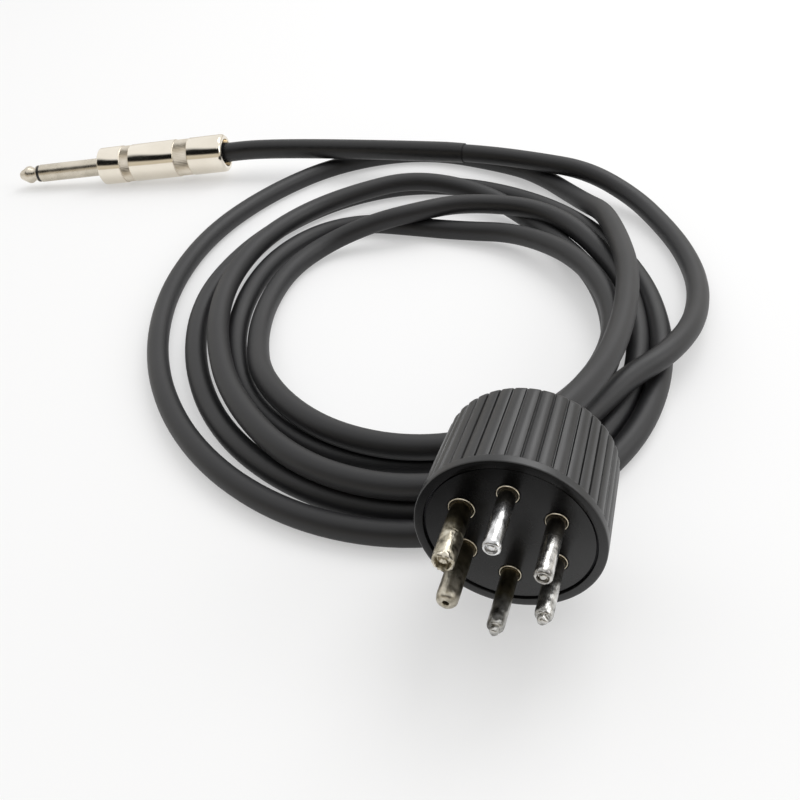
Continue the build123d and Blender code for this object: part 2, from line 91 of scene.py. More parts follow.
# the cable: a spline through the coil, in mm
cable = {
    "diameter": 5.8,
    "centre": (48.8, 13.8),
    "halfLong": 93.3,
    "halfShort": 66.0,
    "turn": 117.9,               # degrees from +X to the coil's long axis
    "step": 24,                  # degrees between the points of a turn
    "swell": 1.022,              # a spline runs inside its points by this much
    "from": 336,                 # degrees round the coil where its first turn starts
    "smoothness": 10,            # more is rounder, both along the cable and round it
    # from the six-pin plug, over the coil's side and down beside it
    "plugLead": [
        (103.7, -78.8, 23.2), (103.7, -60.4, 23.2), (109.3, -45.4, 21.2), (112.6, -29.9, 19.0),
        (113.6, -13.9, 17.0), (113.2, 2.6, 15.6), (111.5, 18.1, 14.0), (108.3, 32.6, 12.4),
        (104.3, 46.1, 11.0), (99.7, 59.6, 9.0), (93.2, 71.6, 5.4), (85.7, 83.6, 3.05),
        (76.0, 94.4, 2.95), (64.2, 103.2, 2.95)],
    # round beside the coil and back over its far end to the phone plug
    "phoneLead": [
        (111.3, -32.5, 8.9), (116.3, -21.9, 8.95), (123.7, -12.1, 8.9), (128.3, 1.6, 7.4),
        (129.4, 16.6, 4.8), (128.3, 32.1, 3.1), (123.9, 47.6, 2.95), (116.9, 62.9, 3.0),
        (106.4, 78.1, 4.8), (91.2, 88.4, 8.4), (74.7, 93.4, 9.0), (56.7, 97.6, 9.4),
        (37.7, 99.8, 9.6), (-23.839, 100.832, 9.964), (-44.0, 97.711, 8.895), (-68.988, 93.843, 7.57)],
    # angle round the coil, share of the outer turn, and height: 2.95 on the table, 8.75 on another strand
    "turns": [
        (312, 1.15, 2.95), (336, 1.13, 2.95), (360, 1.07, 2.95), (384, 1.005, 2.95), (420, 0.995, 2.95),
        (450, 1.0, 2.95), (555, 1.0, 2.95), (570, 1.01, 2.95), (586, 1.015, 2.95), (600, 1.01, 2.95),
        (615, 1.005, 2.95), (630, 1.0, 2.95), (645, 0.965, 2.95), (660, 0.93, 2.95), (675, 0.885, 2.95),
        (696, 0.83, 2.95), (720, 0.77, 2.95), (744, 0.745, 2.95), (768, 0.765, 2.95), (792, 0.82, 2.95),
        (816, 0.848, 2.95), (855, 0.90, 2.95), (900, 0.935, 2.95), (930, 0.935, 2.95), (960, 0.932, 2.95),
        (975, 0.93, 3.1), (990, 0.925, 4.8), (1005, 0.87, 7.6), (1015, 0.80, 8.75), (1030, 0.64, 8.75),
        (1056, 0.465, 8.75), (1080, 0.44, 6.9), (1104, 0.475, 3.8), (1128, 0.505, 2.95), (1152, 0.53, 2.95),
        (1176, 0.58, 4.6), (1200, 0.675, 8.4), (1224, 0.735, 8.75), (1260, 0.785, 8.75), (1285, 0.815, 8.75),
        (1300, 0.84, 8.75), (1320, 0.855, 8.75), (1335, 0.835, 8.75), (1350, 0.765, 7.6), (1365, 0.685, 5.6),
        (1380, 0.59, 3.6), (1395, 0.525, 2.95), (1416, 0.495, 2.95), (1440, 0.545, 2.95), (1464, 0.585, 2.95),
        (1488, 0.61, 2.95), (1512, 0.635, 2.95), (1536, 0.685, 2.95), (1560, 0.74, 2.95), (1584, 0.755, 2.95),
        (1608, 0.765, 2.95), (1632, 0.785, 2.95), (1656, 0.82, 2.95), (1689, 0.852, 2.95),
        (1710, 0.825, 2.95), (1725, 0.795, 2.95), (1740, 0.80, 3.2), (1755, 0.80, 5.8), (1776, 0.74, 8.75),
        (1800, 0.67, 8.1),
        (1824, 0.665, 7.4), (1848, 0.68, 7.4), (1872, 0.705, 7.5), (1896, 0.738, 8.2), (1920, 0.805, 8.75),
        (1944, 0.885, 8.75), (1968, 0.92, 8.75), (2005, 0.92, 8.75)],
}


def easedBetween(stations, angle):
    # share and height at an angle, eased in and out from station to station
    for (a0, f0, z0), (a1, f1, z1) in zip(stations, stations[1:]):
        if angle <= a1:
            t = (angle - a0) / (a1 - a0)
            t = t * t * (3 - 2 * t)
            return f0 + (f1 - f0) * t, z0 + (z1 - z0) * t
    return stations[-1][1:]


def coilPoint(angle, share, height):
    turn, angle = math.radians(cable["turn"]), math.radians(angle)
    along = cable["halfLong"] * share * math.cos(angle)
    across = cable["halfShort"] * share * math.sin(angle)
    return (cable["centre"][0] + along * math.cos(turn) - across * math.sin(turn),
            cable["centre"][1] + along * math.sin(turn) + across * math.cos(turn), height)


def addCable():
    route = list(cable["plugLead"])
    for angle in range(cable["from"], int(cable["turns"][-1][0]) + 1, cable["step"]):
        share, height = easedBetween(cable["turns"], angle)
        route.append(coilPoint(angle, share * cable["swell"], height))
    route += cable["phoneLead"]
    curve = bpy.data.curves.new("cableJacket", "CURVE")
    curve.dimensions = "3D"
    curve.resolution_u = cable["smoothness"]
    curve.bevel_depth = mm(cable["diameter"] / 2)
    curve.bevel_resolution = cable["smoothness"]
    curve.use_fill_caps = True
    spline = curve.splines.new("NURBS")
    spline.points.add(len(route) - 1)
    for point, place in zip(spline.points, route):
        point.co = [mm(v) for v in place] + [1]
    spline.order_u = 3
    spline.use_endpoint_u = True
    piece = bpy.data.objects.new("cableJacket", curve)
    bpy.context.collection.objects.link(piece)
    return piece


def centreLine(piece):
    # the spline's own points, read from a copy without its bevel
    curve = piece.data.copy()
    curve.bevel_depth = 0
    ghost = bpy.data.objects.new("centreLine", curve)
    mesh = bpy.data.meshes.new_from_object(ghost)
    points = [v.co.copy() for v in mesh.vertices]
    bpy.data.objects.remove(ghost)
    bpy.data.curves.remove(curve)
    bpy.data.meshes.remove(mesh)
    return points


cableJacket = addCable()
cablePath = centreLine(cableJacket)
print("cable laid,", round(sum((b - a).length for a, b in zip(cablePath, cablePath[1:])), 4), "m")


def addNode(tree, kind, settings=None, links=None):
    # adds a node, sets its sockets or properties, and links its inputs
    node = tree.nodes.new(kind)
    for key, value in (settings or {}).items():
        if key == "ramp":
            while len(node.color_ramp.elements) < len(value):
                node.color_ramp.elements.new(1)
            for element, (position, colour) in zip(node.color_ramp.elements, value):
                element.position = position
                element.color = linearColour(colour)
        elif isinstance(key, int) or key in node.inputs:
            node.inputs[key].default_value = value
        else:
            setattr(node, key, value)
    for socket, source in (links or {}).items():
        tree.links.new(source, node.inputs[socket])
    return node


def newMaterial(name, roughness, metallic=0.0, ior=1.5):
    material = bpy.data.materials.new(name)
    material.use_nodes = True
    tree = material.node_tree
    tree.nodes.clear()
    shader = addNode(tree, "ShaderNodeBsdfPrincipled",
                     {"Roughness": roughness, "Metallic": metallic, "IOR": ior})
    addNode(tree, "ShaderNodeOutputMaterial", links={"Surface": shader.outputs[0]})
    return material, tree, shader


def noise(tree, sizeMm, detail=4.0, stretch=None):
    # clouds about sizeMm across, drawn out along an axis where stretch says so
    place = addNode(tree, "ShaderNodeTexCoord").outputs["Object"]
    if stretch:
        place = addNode(tree, "ShaderNodeMapping", {"Scale": stretch}, {"Vector": place}).outputs[0]
    settings = {"Scale": 500 / sizeMm, "Detail": detail}       # a cloud is about half a cell of the noise
    return addNode(tree, "ShaderNodeTexNoise", settings, {"Vector": place}).outputs[0]


def ramp(tree, factor, stops):
    # colours by the factor, as (position, hex) stops
    return addNode(tree, "ShaderNodeValToRGB", {"ramp": stops}, {0: factor}).outputs[0]


def spread(tree, factor, low, high, fromLow=0.3, fromHigh=0.7):
    # a value from low to high; clouds keep mostly between 0.3 and 0.7
    settings = {"From Min": fromLow, "From Max": fromHigh, "To Min": low, "To Max": high}
    return addNode(tree, "ShaderNodeMapRange", settings, {0: factor}).outputs[0]


def relief(tree, shader, height, depthMm, strength=1.0):
    node = addNode(tree, "ShaderNodeBump", {"Distance": mm(depthMm), "Strength": strength},
                   {"Height": height})
    tree.links.new(node.outputs[0], shader.inputs["Normal"])


def mixColours(tree, factor, first, second):
    # inputs 6 and 7 and output 2 are the colour sockets of a Mix node
    node = addNode(tree, "ShaderNodeMix", {"data_type": "RGBA"}, {"Factor": factor, 6: first})
    if isinstance(second, str):
        node.inputs[7].default_value = linearColour(second)
    else:
        tree.links.new(second, node.inputs[7])
    return node.outputs[2]


def startFresh():
    # leaves edit mode, and nothing is selected
    if bpy.context.object and bpy.context.object.mode != "OBJECT":
        bpy.ops.object.mode_set(mode="OBJECT")
    bpy.ops.object.select_all(action="DESELECT")


def makeActive(piece):
    startFresh()
    piece.select_set(True)
    bpy.context.view_layer.objects.active = piece


def turnedPiece(name, stations, count):
    # as on a lathe: a ring of points is extruded and resized from station to station, (radius, height) in mm
    onAxis = 0.002               # a ring can't be resized from nothing, so one on the axis has this radius
    startFresh()
    firstRadius = max(stations[0][0], onAxis)
    bpy.ops.mesh.primitive_circle_add(vertices=count, radius=mm(firstRadius), location=(0, 0, 0))
    piece = bpy.context.object
    piece.name = piece.data.name = name
    bpy.ops.object.mode_set(mode="EDIT")
    bpy.ops.mesh.select_all(action="SELECT")
    bpy.ops.transform.translate(value=(0, 0, mm(stations[0][1])))
    for before, here in zip(stations, stations[1:]):
        bpy.ops.mesh.extrude_edges_move(TRANSFORM_OT_translate={"value": (0, 0, mm(here[1] - before[1]))})
        grow = max(here[0], onAxis) / max(before[0], onAxis)
        bpy.ops.transform.resize(value=(grow, grow, 1), center_override=(0, 0, 0))
    bpy.ops.mesh.select_all(action="SELECT")
    bpy.ops.mesh.remove_doubles(threshold=mm(0.008))
    bpy.ops.mesh.normals_make_consistent(inside=False)
    bpy.ops.object.mode_set(mode="OBJECT")
    return piece


def pick(piece, wanted):
    # selects the points whose place, in mm, is wanted
    mesh = bmesh.from_edit_mesh(piece.data)
    for point in mesh.verts:
        point.select = wanted(point.co * 1000)
    mesh.select_flush(True)
    mesh.select_flush(False)
    bmesh.update_edit_mesh(piece.data)


def settle(piece, place, smooth):
    # puts the place into the mesh, and shades it smooth up to that angle
    piece.matrix_world = place
    makeActive(piece)
    bpy.ops.object.transform_apply(location=True, rotation=True, scale=True)
    bpy.ops.object.shade_smooth_by_angle(angle=math.radians(smooth))


def run(radius, start, stop, step):
    # stations along a straight stretch
    count = max(1, round(abs(stop - start) / step))
    return [(radius, start + (stop - start) * k / count) for k in range(count + 1)]


def dress(piece, material, body, replaced):
    # gives a finished piece its material, its body and the solids it stands for
    piece.data.materials.clear()
    piece.data.materials.append(material)
    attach(piece, body)
    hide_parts(*replaced)


capLow, capHigh = (Vector(corner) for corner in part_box("plug_cap"))
mounts = {mount["name"]: mount for mount in frame["record"]["mounts"]}
capMiddle = (capLow + capHigh) / 2
# the round plug's own frame: centre of its rim, +Z into the plug, +Y down
plugFrame = Matrix(((1, 0, 0, capMiddle.x), (0, 0, 1, capLow.y), (0, -1, 0, capMiddle.z), (0, 0, 0, 1)))
# the phone plug's own frame: front of its barrel, +Z towards the cable
shankMountAhead = 13.25          # from the barrel's front to the middle of the shank, in mm
phoneAxis = -Vector(mounts["phone_shank"]["axis"]).normalized()
phoneSide = Vector((-phoneAxis.y, phoneAxis.x, 0)).normalized()
phoneFront = Vector(mounts["phone_shank"]["pos_m"]) + phoneAxis * mm(shankMountAhead)
phoneFrame = Matrix((phoneSide, phoneAxis.cross(phoneSide), phoneAxis)).transposed().to_4x4()
phoneFrame = Matrix.Translation(phoneFront) @ phoneFrame


def makeCableRubber():
    # extruded chloroprene rubber: near black, satin, a broad soft sheen along the top and faint scuffs
    material, tree, shader = newMaterial("extrudedRubber", 0.5, ior=1.52)
    cloud = noise(tree, 14)
    fine = noise(tree, 0.5, 6)        # talc and scuffs; the real grain is finer than this
    tree.links.new(ramp(tree, cloud, [(0.3, "141416"), (0.7, "1A1A1C")]), shader.inputs["Base Color"])
    tree.links.new(spread(tree, cloud, 0.46, 0.56), shader.inputs["Roughness"])
    relief(tree, shader, fine, 0.02, 0.5)
    return material


def makeShrinkSleeve():
    # heat-shrunk polyolefin: black, smoother than the cable, pulled into faint rings across its length
    material, tree, shader = newMaterial("shrunkPolyolefin", 0.42, ior=1.49)
    rings = noise(tree, 2.5, 3, (3.0, 0.4, 0.4))
    tree.links.new(ramp(tree, rings, [(0.35, "121213"), (0.7, "18181A")]), shader.inputs["Base Color"])
    tree.links.new(spread(tree, rings, 0.36, 0.5), shader.inputs["Roughness"])
    relief(tree, shader, rings, 0.06, 0.6)
    return material


def makeCapResin(name, darkHex, paleHex, lowRough, highRough):
    # moulded phenolic resin: black, semi-matt from a worn mould, dulled by handling where it is paler
    material, tree, shader = newMaterial(name, lowRough, ior=1.55)
    handled = noise(tree, 6, 5)
    grain = noise(tree, 0.4, 5)       # mould texture, drawn coarser than the real 0.1 mm
    # distance from the cap's axis, which runs along Y
    place = addNode(tree, "ShaderNodeTexCoord").outputs["Object"]
    fromMiddle = addNode(tree, "ShaderNodeVectorMath", {"operation": "SUBTRACT", 1: capMiddle},
                         {0: place}).outputs[0]
    flat = addNode(tree, "ShaderNodeVectorMath", {"operation": "MULTIPLY", 1: (1, 0, 1)},
                   {0: fromMiddle}).outputs[0]
    out = addNode(tree, "ShaderNodeVectorMath", {"operation": "LENGTH"}, {0: flat}).outputs["Value"]
    worn = ramp(tree, handled, [(0.35, darkHex), (0.75, paleHex)])
    # the bottoms of the flutes are painted nearly black: painted shade in the recesses
    awayFromFluteShade = spread(tree, out, 0, 1, mm(16.6), mm(16.85))
    # painted shade: near black in the flute bottoms, blended out by distance from the axis
    paintedFluteShade = ramp(tree, handled, [(0.4, "030303"), (0.6, "050505")])
    tree.links.new(mixColours(tree, awayFromFluteShade, paintedFluteShade, worn), shader.inputs["Base Color"])
    tree.links.new(spread(tree, handled, lowRough, highRough), shader.inputs["Roughness"])
    relief(tree, shader, grain, 0.03, 0.6)
    return material


def makeFaceResin():
    # pressed phenolic face: black, with painted shade and a painted reflection: colour and gloss go from dark
    # and dull at the upper left to paler and glossier at the lower right
    material, tree, shader = newMaterial("pressedPhenolic", 0.24, ior=1.55)
    place = addNode(tree, "ShaderNodeTexCoord").outputs["Object"]
    parts = addNode(tree, "ShaderNodeSeparateXYZ", links={0: place}).outputs
    reach = (capHigh.x - capLow.x) / 2
    # from about -1 at the upper left of the rim to about 1 at its lower right
    down = spread(tree, parts["Z"], 0.8, -0.8, capMiddle.z - reach, capMiddle.z + reach)
    across = spread(tree, parts["X"], -0.45, 0.45, capMiddle.x - reach, capMiddle.x + reach)
    slant = addNode(tree, "ShaderNodeMath", {"operation": "ADD"}, {0: down, 1: across}).outputs[0]
    uneven = addNode(tree, "ShaderNodeMath", {"operation": "MULTIPLY_ADD", 1: 0.5},
                     {0: noise(tree, 5, 4), 2: slant}).outputs[0]
    # painted shade and painted reflection: low at the upper left, high at the lower right, uneven in clouds
    paintedShadeAndReflection = spread(tree, uneven, 0, 1, -0.5, 0.9)
    tree.links.new(spread(tree, paintedShadeAndReflection, 0.06, 0.5, 0.0, 1.0), shader.inputs["Specular IOR Level"])
    tree.links.new(ramp(tree, paintedShadeAndReflection, [(0.0, "0A0A0B"), (1.0, "161617")]), shader.inputs["Base Color"])
    tree.links.new(spread(tree, noise(tree, 3, 6), 0.18, 0.34), shader.inputs["Roughness"])
    relief(tree, shader, noise(tree, 0.4, 5), 0.02, 0.5)
    return material


def makeTinnedBrass(name, facts):
    # tin-dipped brass tube: pale eyelet, olive-brown tarnish near the base, scratched bright tin to the end
    material, tree, shader = newMaterial(name, 0.3, 1.0)
    place = addNode(tree, "ShaderNodeTexCoord").outputs["Object"]
    along = addNode(tree, "ShaderNodeSeparateXYZ", links={0: place}).outputs["Y"]
    # mm out from the rim, with the edge of the tin made uneven
    scale = {"clamp": False, "From Min": capLow.y, "From Max": capLow.y - mm(10), "To Max": 10.0}
    out = addNode(tree, "ShaderNodeMapRange", scale, {0: along}).outputs[0]
    uneven = addNode(tree, "ShaderNodeMath", {"operation": "MULTIPLY_ADD", 1: facts["uneven"]},
                     {0: noise(tree, 1.8, 6), 2: out}).outputs[0]
    middle = facts["uneven"] / 2
    tinned = spread(tree, uneven, 0, 1, facts["tinFrom"] + middle, facts["tinTo"] + middle)
    eyelet = ramp(tree, spread(tree, out, 0, 1, -0.8, 0.2),
                  [(0.38, "000000"), (0.44, "FFFFFF"), (0.58, "FFFFFF"), (0.66, "000000")])
    tarnish = ramp(tree, noise(tree, 1.4, 6), [(0.3, facts["base"]), (0.7, facts["basePale"])])
    tinStops = [(0.32, facts["tinDark"]), (0.48, facts["tin"]), (0.72, facts["tinPale"])]
    tin = ramp(tree, noise(tree, 0.9, 8), tinStops)
    shaft = mixColours(tree, tinned, tarnish, tin)
    tree.links.new(mixColours(tree, eyelet, shaft, pinBuild["eyelet"]), shader.inputs["Base Color"])
    roughness = spread(tree, tinned, facts["baseRough"], facts["tinRough"], 0.0, 1.0)
    tree.links.new(roughness, shader.inputs["Roughness"])
    # scratches run along the pin, as it is pushed in and pulled out
    relief(tree, shader, noise(tree, 0.45, 7, (1.0, 0.2, 1.0)), facts["scratch"], 0.8)
    return material


def makeMetal(name, darkHex, paleHex, lowRough, highRough, sizeMm, depthMm):
    # worn patches about sizeMm across, in the colour, the roughness and the relief
    material, tree, shader = newMaterial(name, lowRough, 1.0)
    worn = noise(tree, sizeMm, 6)
    tree.links.new(ramp(tree, worn, [(0.3, darkHex), (0.7, paleHex)]), shader.inputs["Base Color"])
    tree.links.new(spread(tree, worn, lowRough, highRough), shader.inputs["Roughness"])
    relief(tree, shader, worn, depthMm, 0.5)
    return material


def makeDielectric(name, darkHex, paleHex, roughness, sizeMm, depthMm, ior=1.5):
    material, tree, shader = newMaterial(name, roughness, ior=ior)
    cloud = noise(tree, sizeMm, 5)
    tree.links.new(ramp(tree, cloud, [(0.3, darkHex), (0.7, paleHex)]), shader.inputs["Base Color"])
    tree.links.new(spread(tree, cloud, roughness - 0.06, roughness + 0.08), shader.inputs["Roughness"])
    relief(tree, shader, cloud, depthMm, 0.5)
    return material


cableRubber = makeCableRubber()
shrunkSleeve = makeShrinkSleeve()
capResin = makeCapResin("mouldedPhenolic", "171718", "202021", 0.32, 0.42)
insertResin = makeFaceResin()
# bright nickel on turned brass: warm white mirror, a little hazed, and duller where the plug is handled
barrelNickel = makeMetal("brightNickelPlate", "E6DECF", "F3ECDF", 0.1, 0.18, 8, 0.01)
shankNickel = makeMetal("wornNickelPlate", "C4BCAD", "DFD7C8", 0.22, 0.36, 3, 0.02)
# blackened spring steel: dark grey, oily sheen
springSteel = makeMetal("blackenedSpringSteel", "1B1B1C", "2A2A2C", 0.35, 0.5, 2, 0.02)
# zinc-plated steel strip: bluish grey, faint spangle
zincPlate = makeMetal("zincPlatedSteel", "9A9EA3", "B4B8BC", 0.3, 0.42, 1.5, 0.02)
# hot-tinned copper wire: silvery and soft
tinnedCopper = makeMetal("tinnedCopperWire", "B4B0A8", "D0CCC4", 0.28, 0.4, 0.8, 0.02)
# tin-lead solder: bright with grey frosted patches, wrinkled where it froze
softSolder = makeMetal("tinLeadSolder", "8F8F8E", "CFCFCC", 0.18, 0.4, 0.9, 0.15)
# tinned brass strip, stamped
stampedLug = makeMetal("stampedTinnedBrass", "A79F8C", "C8C1AE", 0.26, 0.4, 1.6, 0.02)
# moulded nylon or phenolic bush: black, slightly glossy
bushResin = makeDielectric("mouldedInsulator", "111112", "19191A", 0.35, 2, 0.02, 1.53)
# vulcanised fibre: reddish brown, matt, felted
fibreWasher = makeDielectric("vulcanisedFibre", "6A2F1C", "84422A", 0.6, 0.6, 0.04)
# varnished kraft paper tube: amber brown, mottled
varnishedPaper = makeDielectric("varnishedPaper", "6E5230", "8A6B42", 0.4, 1.5, 0.03)
# PVC core insulation: dull white, slightly soft gloss
corePvc = makeDielectric("corePvc", "BDB7A6", "CBC6B7", 0.4, 2, 0.01, 1.53)
# moulded rubber grommet: black, matt, a little dusty
grommetRubber = makeDielectric("mouldedRubber", "141414", "1E1E1E", 0.62, 1.2, 0.03, 1.52)
print("materials made")

# better materials for the solids that show as they are
solidFinishes = {
    "pin_insert": insertResin, "retaining_ring": springSteel, "cable_grommet": grommetRubber,
    "cable_clamp": zincPlate, "core_lead_1": corePvc, "core_lead_2": corePvc,
    "link_wire_1": tinnedCopper, "link_wire_2": tinnedCopper,
    "phone_tip": shankNickel, "phone_sleeve": shankNickel,
    "tip_insulator": bushResin, "rod_insulator": bushResin,
    "ground_lug": stampedLug, "tip_lug": stampedLug, "lug_washer": fibreWasher,
    "tip_core": tinnedCopper, "ground_core": tinnedCopper,
    "tip_solder": softSolder, "ground_solder": softSolder, "barrel_liner": varnishedPaper,
}
for nodeName, finish in solidFinishes.items():
    materials = frame["nodes"][nodeName].data.materials
    materials.clear()
    materials.append(finish)

cableJacket.data.materials.append(cableRubber)

# the shrunk sleeve over the cable's last stretch, in mm
sleeve = {
    "radius": 3.35,
    "endRadius": 3.2,            # shrunk onto the cable over the last three points
    "wall": 0.4,
    "from": 8.4,                 # along the cable from its end in the phone plug
    "to": 119.1,
    "smoothness": 10,
}


def addSleeve():
    backwards = list(reversed(cablePath))
    walked, kept = 0.0, []
    for before, here in zip(backwards, backwards[1:]):
        walked += (here - before).length * 1000
        if sleeve["from"] <= walked <= sleeve["to"]:
            kept.append(here)
    curve = bpy.data.curves.new("shrinkSleeve", "CURVE")
    curve.dimensions = "3D"
    curve.bevel_depth = mm(sleeve["radius"])
    curve.bevel_resolution = sleeve["smoothness"]
    spline = curve.splines.new("POLY")
    spline.points.add(len(kept) - 1)
    shrunk = sleeve["endRadius"] / sleeve["radius"]
    for number, (point, place) in enumerate(zip(spline.points, kept)):
        point.co = list(place) + [1]
        left = len(kept) - 1 - number
        point.radius = 1 if left > 2 else shrunk ** ((3 - left) / 3)
    piece = bpy.data.objects.new("shrinkSleeve", curve)
    bpy.context.collection.objects.link(piece)
    makeActive(piece)
    bpy.ops.object.convert(target="MESH")
    piece = bpy.context.object
    piece.name = piece.data.name = "shrinkSleeve"
    wall = piece.modifiers.new("wall", "SOLIDIFY")
    wall.thickness = mm(sleeve["wall"])
    wall.offset = -1
    bpy.ops.object.modifier_apply(modifier="wall")
    bpy.ops.object.shade_smooth_by_angle(angle=math.radians(40))
    dress(piece, shrunkSleeve, "lead", ["heat_shrink"])
    return piece


shrinkSleeve = addSleeve()
print("sleeve shrunk on")

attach(cableJacket, "lead")
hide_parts("cable_coil", "cable_lead_plug", "cable_lead_phone")

# the fluted cap, in mm, with heights from its rim
cap = {
    "radius": (capHigh.x - capLow.x) * 500,
    "rearRadius": 16.45,
    "length": (capHigh.y - capLow.y) * 1000,
    "shoulder": 1.1,             # rounding of the rear edge
    "flutes": 40,
    "perFlute": 20,              # points round the cap for each flute
    "fluteStart": 1.7,
    # how deep the surface lies at each point from the middle of a flute to the crown of its rib
    "profile": (0.6, 0.55, 0.24, 0.185, 0.14, 0.1, 0.065, 0.04, 0.02, 0.006),
    "boreRadius": 15.4,
    "ringGroove": 15.85, "ringFrom": 0.8, "ringTo": 1.7,
    "cavityRadius": 14.5, "cavityFrom": 5.0, "cavityTo": 19.4,
    "holeRadius": 4.0,           # where the cable's grommet passes
}


def addCap():
    r, rear, length, s = cap["radius"], cap["rearRadius"], cap["length"], cap["shoulder"]
    start = cap["fluteStart"]

    def sideRadius(height):
        # the fluted side tapers to the rear
        return r + (rear - r) * (height - start) / (length - s - start)

    evenFrom = start + 0.3       # the rings up the side are evenly spaced from here
    heights = [start + 0.12, evenFrom] + [evenFrom + (length - s - evenFrom) * k / 6 for k in range(1, 7)]
    side = [(sideRadius(h), h) for h in heights]
    rounded = [(rear - s * (1 - math.cos(math.radians(a))), length - s + s * math.sin(math.radians(a)))
               for a in (15, 30, 45, 60, 75, 90)]
    bore, groove, hole = cap["boreRadius"], cap["ringGroove"], cap["holeRadius"]
    stations = [
        (hole, cap["cavityTo"]), (cap["cavityRadius"], cap["cavityTo"]),
        (cap["cavityRadius"], cap["cavityFrom"]), (bore, cap["cavityFrom"]),
        (bore, cap["ringTo"]), (groove, cap["ringTo"]), (groove, cap["ringFrom"]),
        (bore, cap["ringFrom"]), (bore, 0.2), (bore + 0.06, 0.06),
        (bore + 0.2, 0.0), (r - 0.35, 0.0), (r - 0.15, 0.05), (r - 0.04, 0.16), (r, 0.36),
        (r, start - 0.1), (r, start)] + side + rounded + [
        (8.0, length), (hole + 0.15, length), (hole, length - 0.15), (hole, cap["cavityTo"])]
    piece = turnedPiece("flutedCap", stations, cap["flutes"] * cap["perFlute"])
    makeActive(piece)
    bpy.ops.object.mode_set(mode="EDIT")

    def stepFromFlute(place):
        # points between this one and the middle of the nearest flute
        turn = math.atan2(place.y, place.x) / (2 * math.pi) * cap["flutes"]
        return round(abs(turn - round(turn)) * cap["perFlute"])

    for radius, height in side + rounded:
        for step, depth in enumerate(cap["profile"]):
            target = sideRadius(height) - depth
            if target < radius - 0.005:
                pick(piece, lambda p: abs(p.z - height) < 0.01 and abs(math.hypot(p.x, p.y) - radius) < 0.01
                     and stepFromFlute(p) == step)
                shrink = target / radius
                bpy.ops.transform.resize(value=(shrink, shrink, 1), center_override=(0, 0, 0))
    settle(piece, plugFrame, 40)
    dress(piece, capResin, "lead", ["plug_cap"])
    # the flat of the rim takes the insert's material, and with it the same painted shade and painted
    # reflection
    piece.data.materials.append(insertResin)
    for face in piece.data.polygons:
        if face.normal.y < -0.9 and face.center.y < capLow.y + mm(0.1):
            face.material_index = 1


addCap()
print("cap fluted")

# the pins, each with its own end and wear: lengths in mm out from the rim
# tinFrom and tinTo bound the edge of the tin, and rough, endRough and scratch are depths
pins = {
    "pin_1": {"end": "ragged", "seam": 6.6, "rough": 0.07, "endRough": 0.42, "tinFrom": 4.6, "tinTo": 6.8,
              "uneven": 3.2, "scratch": 0.2, "base": "38342A", "basePale": "6A6350", "tinDark": "4A463C",
              "tin": "B4AD9B", "tinPale": "F0EADC", "baseRough": 0.34, "tinRough": 0.3},
    "pin_2": {"end": "cup", "rough": 0.03, "endRough": 0.12, "tinFrom": 2.4, "tinTo": 4.6, "uneven": 2.4,
              "scratch": 0.12, "base": "45433F", "basePale": "7A7770", "tinDark": "8C8C8B", "tin": "C8C8C8",
              "tinPale": "F2F2F2", "baseRough": 0.3, "tinRough": 0.22},
    "pin_3": {"end": "cup", "rough": 0.03, "endRough": 0.12, "tinFrom": 3.0, "tinTo": 5.6, "uneven": 2.6,
              "scratch": 0.14, "base": "45423D", "basePale": "77736A", "tinDark": "7A7876", "tin": "C0BEBA",
              "tinPale": "EEECE8", "baseRough": 0.3, "tinRough": 0.22},
    "pin_4": {"end": "nub", "rough": 0.07, "endRough": 0.2, "tinFrom": 2.6, "tinTo": 5.4, "uneven": 3.4,
              "scratch": 0.22, "base": "4E4B46", "basePale": "84807A", "tinDark": "4E4C4A", "tin": "ACABA8",
              "tinPale": "E8E7E4", "baseRough": 0.32, "tinRough": 0.26},
    "pin_5": {"end": "nub", "rough": 0.06, "endRough": 0.18, "tinFrom": 5.6, "tinTo": 7.8, "uneven": 2.8,
              "scratch": 0.22, "base": "4A4638", "basePale": "7C7560", "tinDark": "4A4844", "tin": "A6A5A1",
              "tinPale": "E2E1DD", "baseRough": 0.34, "tinRough": 0.28},
    "pin_6": {"end": "hole", "rough": 0.06, "endRough": 0.14, "tinFrom": 4.6, "tinTo": 8.0, "uneven": 3.8,
              "scratch": 0.2, "base": "474235", "basePale": "857D69", "tinDark": "5A5549", "tin": "A8A294",
              "tinPale": "D6D0C0", "baseRough": 0.36, "tinRough": 0.32},
}
pinBuild = {
    "count": 56,                 # points round a pin
    "tail": 6.6, "insertBack": 5.0, "collarBack": 0.8,       # in from the rim
    "step": 0.3,                 # between the shaft's stations
    "wall": 0.2,                 # the part behind the collar is thinner, and its flange wider, by this much
    "eyelet": "F0E6D0",          # bare brass polished pale
    # where each kind of dent starts and is full, out from the rim, and the size of its clouds in metres
    "dents": {"shaft": (3.5, 8.0, 0.0012), "end": (11.2, 12.2, 0.0008)},
}


